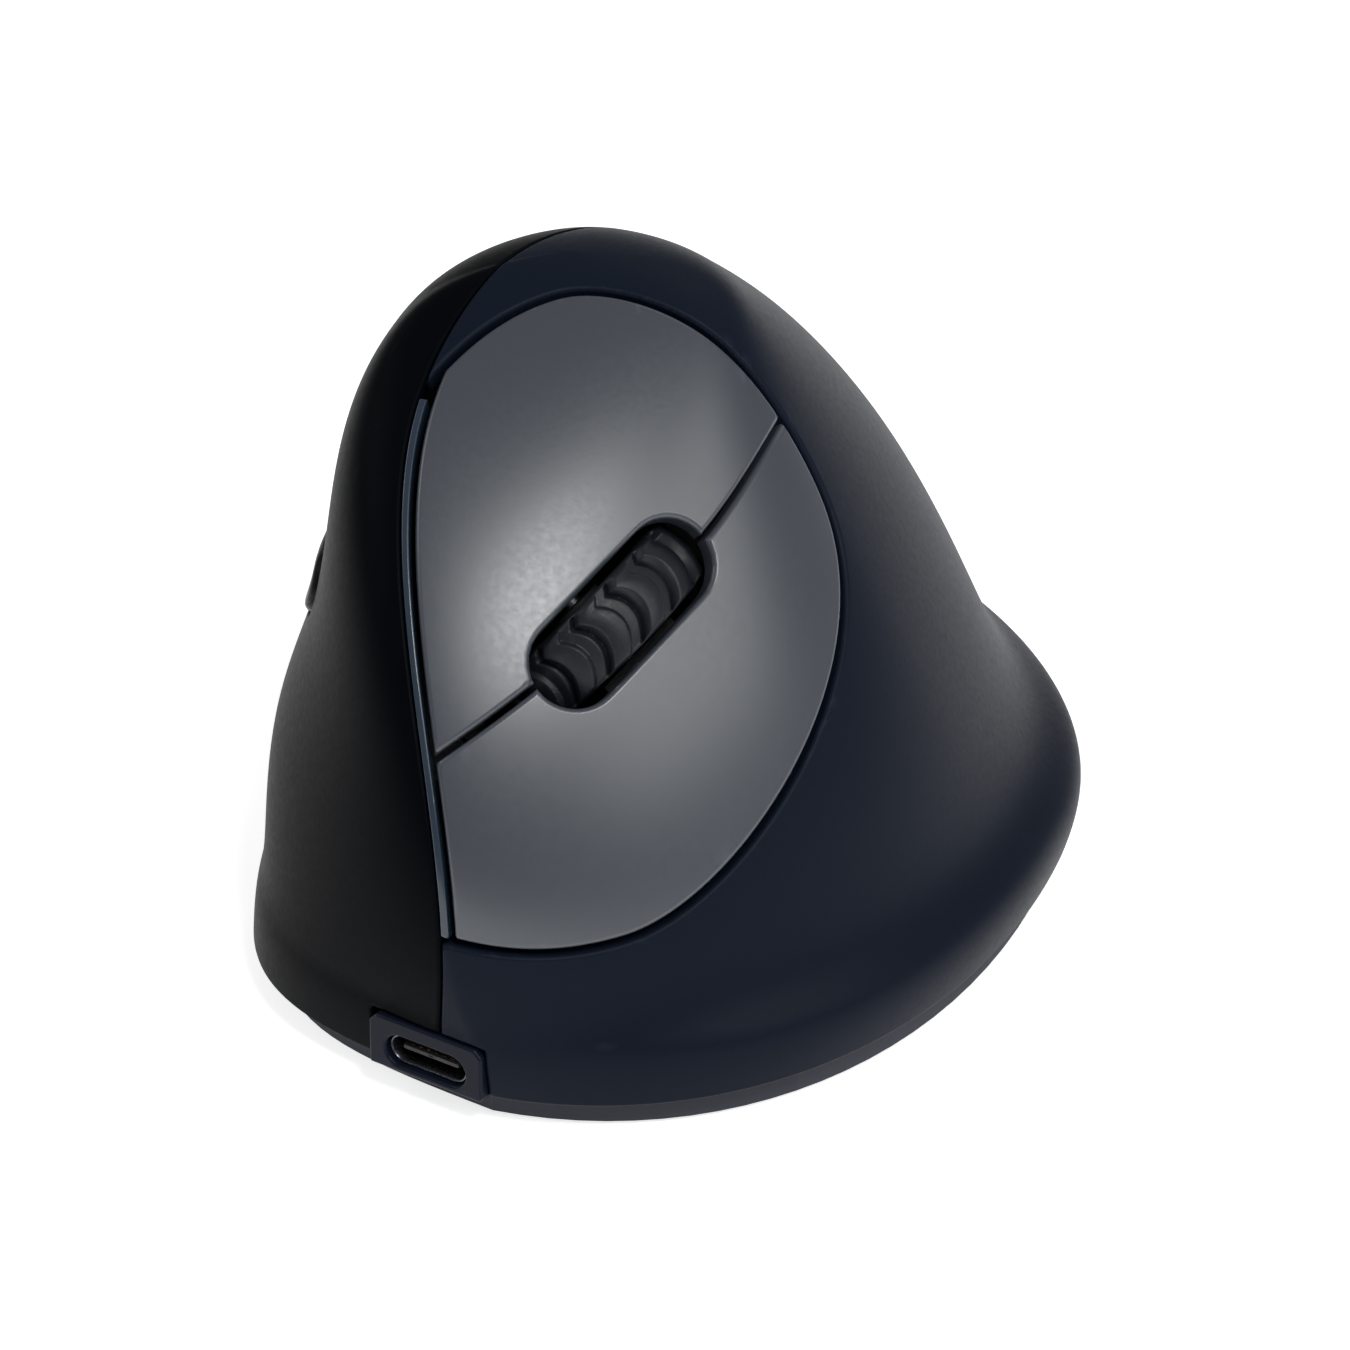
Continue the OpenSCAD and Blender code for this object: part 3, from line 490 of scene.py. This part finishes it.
STRIP = finish("strip_smoke", (34, 50, 66), 0.22, 0.5, grain=0.3, bump=0.002, mottle=0.05, coat=0.5, rough_var=0.03)
BASE = finish("base_moulded", (12, 16, 24), 0.5, 0.08, grain=0.25, bump=0.012, edge_highlight=0.3)
TYRE = finish("tyre_rubber", (24, 27, 34), 0.45, 0.35, grain=0.12, bump=0.01, mottle=0.06, edge_highlight=0.3, rough_var=0.05)
HUB = finish("hub_moulded", (26, 27, 30), 0.45, 0.4, grain=0.2)
SOCKET = finish("socket_steel", (96, 98, 104), 0.3, 0.5, 1.0, grain=0.08, bump=0.004, streak=(1, 1, 6))
BRASS = finish("contact_gold", (196, 160, 84), 0.3, 0.5, 1.0, grain=0.08, bump=0.003)
STEEL = finish("screw_steel", (120, 121, 124), 0.35, 0.5, 1.0, grain=0.1, bump=0.01)
FOOT = finish("glide_foot", (196, 199, 203), 0.5, 0.4, grain=0.3, bump=0.01, mottle=0.03)
GREEN = finish("board_green", (24, 74, 48), 0.38, 0.5, grain=0.4, bump=0.02, mottle=0.15)
FRAME = finish("frame_moulded", (52, 53, 57), 0.6, 0.35, grain=0.3, bump=0.03)
LEVER = finish("lever_moulded", (60, 62, 67), 0.55, 0.35, grain=0.3, bump=0.02)
SWITCH = finish("switch_black", (24, 24, 27), 0.4, 0.5, grain=0.3, bump=0.02)
PLUNGER = finish("plunger_white", (214, 214, 206), 0.35, 0.5, grain=0.3, bump=0.01)
LENS = finish("lens_clear", (232, 236, 240), 0.12, 0.5, grain=0.8, bump=0.002, mottle=0.02, rough_var=0.03, trans=0.75)
CELL = finish("cell_foil", (168, 172, 180), 0.34, 0.5, 0.7, grain=0.5, bump=0.05, mottle=0.08)
KNOB = finish("knob_grey", (108, 111, 118), 0.45, 0.4, grain=0.2)
CABLE = finish("cable_white", (206, 206, 200), 0.5, 0.4, grain=0.3, streak=(1, 6, 1))

LOOKS = {
    "base_plastic": BASE, "glide_foot": FOOT, "steel": STEEL, "thumb_plastic": THUMB, "finger_plastic": FINGER,
    "strip_lens": STRIP, "bezel_plastic": BEZEL, "socket_metal": SOCKET, "board_green": GREEN, "key_plastic": KEY,
    "lever_plastic": LEVER, "frame_plastic": FRAME, "switch_black": SWITCH, "plunger_white": PLUNGER,
    "hub_plastic": HUB, "tyre_rubber": TYRE, "thumb_key_plastic": THUMB_KEY, "lens_clear": LENS, "cell_foil": CELL,
    "knob_grey": KNOB, "cable_white": CABLE,
}
for entry in frame["record"]["materials"]:
    for name in entry.get("nodes", []):
        slots = frame["nodes"][name].material_slots
        if not slots:
            frame["nodes"][name].data.materials.append(LOOKS[entry["slot"]])
        for s in slots:
            s.material = LOOKS[entry["slot"]]

# ---------------------------------------------------------------- shells and keys
WALL = 1.7
SKIN = surface(LEVELS, 80, 120)


def port_frame(v):
    """Coordinates along the port plate, into the body and up."""
    a = math.radians(-PORT_TURN)
    c, s = math.cos(a), math.sin(a)
    d = v - np.array([LEVELS[1][1], LEVELS[1][2], 0])
    return np.column_stack([d[:, 0] * c + d[:, 1] * s + 6.5, -d[:, 0] * s + d[:, 1] * c, d[:, 2]])


def box_distance(q, half, centre):
    """Distance outside a rectangle, negative inside it."""
    d = np.abs(q - centre) - half
    out = np.linalg.norm(np.maximum(d, 0), axis=1)
    return out + np.minimum(0, d.max(1))


def clear_of_port(v):
    q = port_frame(v)
    d = box_distance(q[:, [0, 2]], np.array([6.65, 3.05]), np.array([0, 6.3]))
    return np.where(q[:, 1] > 6, 5.0, d)


def trim(shape, *fields):
    for field in fields:
        shape, _ = split(shape, field(shape[0]), True)
    return shape


def key_side(v, way):
    line = SPLIT_FINE + [0, way * 0.345]
    poly = np.concatenate([line, [[62, way * 150], [-12, way * 150]]])
    p = on_face(v)
    d = line_distance(p, line)
    return np.where(inside(p, poly), d, -d)


def key_plate(name, way, body):
    shape = trim(
        SKIN,
        lambda v: off_face(v),
        lambda v: right_of(v, STRIP_W + KEY_GAP),
        lambda v: signed(on_face(v), LEAF),
        lambda v: key_side(v, way),
        lambda v: -stadium_distance(on_face(v), SLOT_AT, SLOT_TURN, SLOT_L, SLOT_W),
    )
    return mesh(name + "_skin", thicken(lip(shape, 0.55), WALL), body, KEY, [name])


key_plate("index_key", 1, "index")
key_plate("middle_key", -1, "middle")

grown = lambda v: -np.where(off_face(v) > 0, signed(on_face(v), LEAF) + KEY_GAP, -5.0)
finger = trim(
    SKIN,
    lambda v: right_of(v, 0.12),
    clear_of_port,
    grown,
    lambda v: np.maximum.reduce([right_of(v, STRIP_W + KEY_GAP), 21.0 - v[:, 2], v[:, 2] - 61.6, v[:, 1] - 45]),
)
mesh("finger_shell_skin", thicken(lip(finger, 0.45), WALL), "base", FINGER, ["finger_shell"])

THUMB_AT, LEAN = np.array([-22.1, 48.0, 38.0]), math.radians(76)
T_UP = np.array([math.cos(LEAN), 0, math.sin(LEAN)])
T_OUT = np.array([-math.sin(LEAN), 0, math.cos(LEAN)])
THUMB_L, THUMB_H = 18, 6.5


def on_thumb(v):
    d = v - THUMB_AT
    return np.column_stack([d @ T_UP, d[:, 1]]), d @ T_OUT


def thumb_window(v):
    p, out = on_thumb(v)
    best = np.full(len(v), 9.0)
    for way in (-1, 1):
        d = -stadium_distance(p, np.array([0, way * (THUMB_L + 1) / 2]), math.pi / 2, THUMB_L + 0.7, THUMB_H + 0.7)
        best = np.minimum(best, d)
    return np.where(out > -12, best, 9.0)


thumb = trim(SKIN, lambda v: -right_of(v, 0.0), clear_of_port, thumb_window)
mesh("thumb_shell_skin", thicken(lip(thumb, 0.4), WALL), "base", THUMB, ["thumb_shell"])

strip = trim(
    SKIN,
    lambda v: right_of(v, 0.14),
    lambda v: -right_of(v, STRIP_W),
    lambda v: v[:, 2] - 21.3,
    lambda v: 61.3 - v[:, 2],
    lambda v: 45 - v[:, 1],
)
mesh("light_strip_skin", thicken(lip(strip, 0.18, (0.3, 1.0)), WALL), "base", STRIP, ["light_strip"])

PROUD = 0.8
proud_rows = [list(r) for r in LEVELS]
for r in proud_rows[:-1]:
    r[8] -= PROUD
PROUD_SKIN = surface(proud_rows, 80, 120)
for name, way, body in (("forward_key", -1, "forward"), ("back_key", 1, "back")):
    spot = np.array([0, way * (THUMB_L + 1) / 2])
    shape = trim(
        PROUD_SKIN,
        lambda v: on_thumb(v)[1] + 12,
        lambda v: stadium_distance(on_thumb(v)[0], spot, math.pi / 2, THUMB_L, THUMB_H),
    )
    mesh(name + "_cap", thicken(lip(shape, 0.9), 2.2), body, THUMB_KEY, [name])


# ---------------------------------------------------------------- port plate
def grid(u_axis, v_axis, origin, u_range, v_range, step):
    """A flat skin over a rectangle, facing u_axis x v_axis."""
    us = np.arange(u_range[0], u_range[1] + step, step)
    vs = np.arange(v_range[0], v_range[1] + step, step)
    uu, vv = np.meshgrid(us, vs, indexing="ij")
    p = origin + uu.reshape(-1, 1) * u_axis + vv.reshape(-1, 1) * v_axis
    k = len(vs)
    i, j = np.meshgrid(np.arange(len(us) - 1), np.arange(k - 1), indexing="ij")
    a = (i * k + j).ravel()
    f = np.concatenate([np.column_stack([a, a + k, a + k + 1]), np.column_stack([a, a + k + 1, a + 1])])
    return p, np.tile(np.cross(u_axis, v_axis), (len(p), 1)), f


TURN = math.radians(-PORT_TURN)
P_X = np.array([math.cos(TURN), math.sin(TURN), 0])
P_IN = np.array([-math.sin(TURN), math.cos(TURN), 0])
P_AT = np.array([LEVELS[1][1], LEVELS[1][2], 0]) - 6.5 * P_X
Z = np.array([0, 0, 1.0])
PLATE = [[-6.5, 3.4], [6.5, 3.4], [6.5, 8.35], [5.65, 9.2], [-5.65, 9.2], [-6.5, 8.35]]


def port_2d(v):
    d = v - P_AT
    return np.column_stack([d @ P_X, d[:, 2]])


plate = trim(
    grid(P_X, Z, P_AT - 0.2 * P_IN, (-7, 7), (3, 9.6), 0.35),
    lambda v: signed(port_2d(v), PLATE),
    lambda v: -stadium_distance(port_2d(v), np.array([0, 5.8]), 0, 9.3, 3.5),
)
mesh("port_bezel_plate", thicken(lip(plate, 0.28), 1.5), "base", BEZEL, ["port_bezel"])



def stadium_loop(length, width, n=12):
    """Points of a round-ended outline, counterclockwise."""
    turns = np.concatenate([np.linspace(-math.pi / 2, math.pi / 2, n), np.linspace(math.pi / 2, 1.5 * math.pi, n)])
    side = np.repeat([1, -1], n) * (length - width) / 2
    return np.column_stack([side + np.cos(turns) * width / 2, np.sin(turns) * width / 2])


def port_tube(loops):
    """A ring of quads through (depth, length, width) loops around the socket's middle, closed on itself."""
    rings = [P_AT + 5.8 * Z + y * P_IN + p[:, :1] * P_X + p[:, 1:] * Z for y, p in
             ((y, stadium_loop(l, w)) for y, l, w in loops)]
    v = np.stack(rings)
    m, k = v.shape[:2]
    i, j = np.meshgrid(np.arange(m), np.arange(k), indexing="ij")
    a, b = i * k + j, i * k + (j + 1) % k
    c, d = (i + 1) % m * k + (j + 1) % k, (i + 1) % m * k + j
    return v.reshape(-1, 3), np.stack([a, b, c, d], -1).reshape(-1, 4)


SHELL_RINGS = [(0.62, 9.0, 3.2), (0.5, 8.86, 3.06), (0.5, 8.6, 2.8), (0.66, 8.4, 2.6), (6.6, 8.4, 2.6),
               (6.6, 0.5, 0.3), (7.8, 0.5, 0.3), (7.8, 9.0, 3.2)]

# ---------------------------------------------------------------- wheel
WHEEL_R, TYRE_W, HUB_R, TREADS = 12, 6.8, 9.8, 15
TURN = SLOT_TURN
W_X = ALONG * math.cos(TURN) + UP * math.sin(TURN)
W_Y = -ALONG * math.sin(TURN) + UP * math.cos(TURN)
WHEEL_AT = SLOT_AT[0] * ALONG + SLOT_AT[1] * UP + 16.65 * OUT + 1.0 * W_X


def smoothstep(a, b, x):
    x = np.clip((x - a) / (b - a), 0, 1)
    return x * x * (3 - 2 * x)


def tyre():
    """Crowned rubber band with raised crescents, each ended by a swept groove."""
    around, across = TREADS * 44, 64
    th, s = np.meshgrid(np.arange(around) / around, np.linspace(-1, 1, across), indexing="ij")
    half = TYRE_W / 2
    w = half * np.sin(s * math.pi / 2) ** 1 * 1.0
    edge = np.abs(w) / half
    crown = 0.5 * edge**2.4
    shoulder = 1.1 * (1 - np.sqrt(np.maximum(0, 1 - np.clip((edge - 0.86) / 0.14, 0, 1) ** 2)))
    q = -w
    hump = 0.8 - 1.8 * (np.maximum(q - 0.1, 0) / 3.0) ** 2 - 1.1 * (np.clip(-q - 0.1, 0, 2.2) / 2.2) ** 2
    hump = hump + 0.7 * smoothstep(2.2, 3.2, -q)
    pitch = TAU * WHEEL_R / TREADS
    phase = (-th * TREADS - hump / pitch) % 1.0
    lug = smoothstep(0.05, 0.2, phase) * (1 - smoothstep(0.6, 0.68, phase))
    dome = 0.18 * np.sin(np.clip((phase - 0.05) / 0.63, 0, 1) * math.pi)
    near = np.minimum(phase, 1 - phase)
    groove = np.exp(-((near / 0.055) ** 2))
    land = 1 - smoothstep(0.86, 0.99, edge)
    r = WHEEL_R - 0.18 - crown - shoulder + land * (dome * lug - 0.42 * (1 - lug) - 0.6 * groove)
    a = th * TAU
    outer = WHEEL_AT + (r * np.cos(a))[..., None] * W_X + (r * np.sin(a))[..., None] * OUT + w[..., None] * W_Y
    ends = [-half, half]
    ri = HUB_R + 0.02
    inner = np.stack([WHEEL_AT + (ri * np.cos(a[:, :1])) * W_X + (ri * np.sin(a[:, :1])) * OUT + e * W_Y for e in ends[::-1]], 1)
    ring = np.concatenate([outer, inner], 1)
    k = ring.shape[1]
    i, j = np.meshgrid(np.arange(around), np.arange(k), indexing="ij")
    a0, a1 = i * k + j, ((i + 1) % around) * k + j
    b0, b1 = i * k + (j + 1) % k, ((i + 1) % around) * k + (j + 1) % k
    f = np.concatenate([np.stack([a0, b0, b1], -1).reshape(-1, 3), np.stack([a0, b1, a1], -1).reshape(-1, 3)])
    return ring.reshape(-1, 3), f


def plain_mesh(name, v, f, body, material, slot, replaces, angle=35):
    data = bpy.data.meshes.new(name)
    data.from_pydata(((v - MID) * MM).tolist(), [], f.tolist())
    data.materials.append(material)
    data.update()
    obj = bpy.data.objects.new(name, data)
    scene.collection.objects.link(obj)
    import bmesh

    b = bmesh.new()
    b.from_mesh(data)
    bmesh.ops.recalc_face_normals(b, faces=b.faces)
    for face in b.faces:
        face.smooth = True
    for e in b.edges:
        e.smooth = len(e.link_faces) == 2 and e.calc_face_angle(0) < math.radians(angle)
    b.to_mesh(data)
    b.free()
    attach(obj, body)
    if replaces:
        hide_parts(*replaces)
    return obj


plain_mesh("wheel_tyre_tread", *tyre(), "wheel", TYRE, "tyre_rubber", ["wheel_tyre"])

# ---------------------------------------------------------------- charging socket
plain_mesh("usb_socket_shell", *port_tube(SHELL_RINGS), "base", SOCKET, "socket_metal", ["usb_socket"])
tongue = [(1.0, 6.5, 0.5), (0.9, 6.4, 0.38), (0.9, 0.6, 0.1), (6.6, 0.6, 0.1), (6.6, 6.7, 0.7), (1.15, 6.7, 0.7)]
plain_mesh("usb_socket_tongue", *port_tube(tongue), "base", SWITCH, "switch_black", [])
for i in range(6):
    x = (i - 2.5) * 0.9
    pad = [P_AT + 5.8 * Z + a * P_IN + (x + b) * P_X + (0.36 + c) * Z
           for c in (0, 0.03) for a, b in ((1.2, -0.16), (1.2, 0.16), (4.5, 0.16), (4.5, -0.16))]
    sides = [[0, 1, 2, 3], [4, 5, 6, 7], [0, 1, 5, 4], [1, 2, 6, 5], [2, 3, 7, 6], [3, 0, 4, 7]]
    plain_mesh(f"usb_socket_pin_{i + 1}", np.array(pad), np.array(sides), "base", BRASS, "socket_metal", [])

# ---------------------------------------------------------------- glide feet
FEET = [[9, 10.5, 0], [37.5, 45, 76], [-18.5, 46, 88], [3, 94.5, 0]]
for i, (x, y, turn) in enumerate(FEET):
    a = math.radians(turn)
    c, s = math.cos(a), math.sin(a)
    shape = grid(np.array([c, s, 0]), np.array([s, -c, 0]), np.array([x, y, 0.0]), (-8, 8), (-3.5, 3.5), 0.5)
    shape = trim(shape, lambda v: stadium_distance(v[:, :2], np.array([x, y]), a, 14, 5))
    mesh(f"glide_foot_pad_{i + 1}", thicken(lip(shape, 0.22), 0.49), "base", FOOT, [f"glide_foot_{i + 1}"])

# ---------------------------------------------------------------- floor, light, camera
def stage_box(name, size, at, material):
    bpy.ops.mesh.primitive_plane_add(size=size, location=at)
    obj = bpy.context.object
    obj.name = name
    obj.data.materials.append(material)
    return obj


def seen_white(name, colour):
    """A pale ground that looks white to the camera, with the object's shadow kept."""
    m = bpy.data.materials.new(name)
    m.use_nodes = True
    t = m.node_tree
    t.nodes.clear()
    path = node(t, "ShaderNodeLightPath").outputs
    seen = node(t, "ShaderNodeMath", {0: path["Is Camera Ray"], 1: path["Is Glossy Ray"]}, operation="MAXIMUM").outputs[0]
    seen = node(t, "ShaderNodeMath", {0: seen, 1: path["Is Transmission Ray"]}, operation="MAXIMUM").outputs[0]
    soft = node(t, "ShaderNodeBsdfDiffuse", {"Color": colour}).outputs[0]
    glow = node(t, "ShaderNodeEmission", {"Color": (1, 1, 1, 1), "Strength": 0.74}).outputs[0]
    both = node(t, "ShaderNodeAddShader", {0: soft, 1: glow}).outputs[0]
    mix = node(t, "ShaderNodeMixShader", {0: seen, 1: soft, 2: both}).outputs[0]
    node(t, "ShaderNodeOutputMaterial", {"Surface": mix})
    return m


FLOOR = stage_box("floor", 8.0, (0, 0, 0), seen_white("floor_pale", (0.86, 0.86, 0.86, 1)))

world = bpy.data.worlds.new("studio")
scene.world = world
world.use_nodes = True
wt = world.node_tree
wt.nodes.clear()
path = node(wt, "ShaderNodeLightPath").outputs
seen = node(wt, "ShaderNodeMath", {0: path["Is Camera Ray"], 1: path["Is Transmission Ray"]}, operation="MAXIMUM").outputs[0]
dim = node(wt, "ShaderNodeBackground", {"Color": (1, 1, 1, 1), "Strength": 0.24}).outputs[0]
white = node(wt, "ShaderNodeBackground", {"Color": (1, 1, 1, 1), "Strength": 1.0}).outputs[0]
mix = node(wt, "ShaderNodeMixShader", {0: seen, 1: dim, 2: white}).outputs[0]
node(wt, "ShaderNodeOutputWorld", {"Surface": mix})


def softbox(name, direction, distance, size, radiance, centre=(0, 0, 0.035)):
    """An area light of that radiance, looking at the part from that direction."""
    d = unit(np.array(direction, float))
    light = bpy.data.lights.new(name, "AREA")
    light.shape = "RECTANGLE"
    light.size, light.size_y = size
    light.energy = radiance * math.pi * size[0] * size[1]
    obj = bpy.data.objects.new(name, light)
    scene.collection.objects.link(obj)
    obj.location = np.array(centre) + d * distance
    from mathutils import Vector

    obj.rotation_euler = Vector(d.tolist()).to_track_quat("Z", "Y").to_euler()
    return obj


AZ, EL = math.radians(18), math.radians(31)
BACK = np.array([math.sin(AZ) * math.cos(EL), -math.cos(AZ) * math.cos(EL), math.sin(EL)])


def toward(azimuth, elevation):
    a, e = math.radians(azimuth), math.radians(elevation)
    return math.sin(a) * math.cos(e), -math.cos(a) * math.cos(e), math.sin(e)


softbox("key_light", toward(38, 54), 1.0, (0.18, 0.18), 30.0)
softbox("front_fill", toward(72, 38), 1.2, (0.8, 0.6), 2.6)
softbox("thumb_rim", toward(-118, -12), 1.2, (0.2, 0.3), 2.5)
softbox("thumb_side", toward(-78, 38), 1.3, (0.7, 0.5), 1.8)
softbox("back_fill", toward(165, 45), 1.3, (0.8, 0.5), 0.6)

cam = bpy.data.cameras.new("camera")
cam.lens, cam.sensor_width = 172.1, 36
cam.shift_x, cam.shift_y = 0.0071, -0.0672
cam.clip_start, cam.clip_end = 0.01, 20
camera = bpy.data.objects.new("camera", cam)
scene.collection.objects.link(camera)
camera.location = np.array([-4.78, 5.27, 28]) * MM + BACK * 0.65
from mathutils import Vector

camera.rotation_euler = Vector(BACK.tolist()).to_track_quat("Z", "Y").to_euler()
scene.camera = camera
scene.view_settings.view_transform = "Standard"
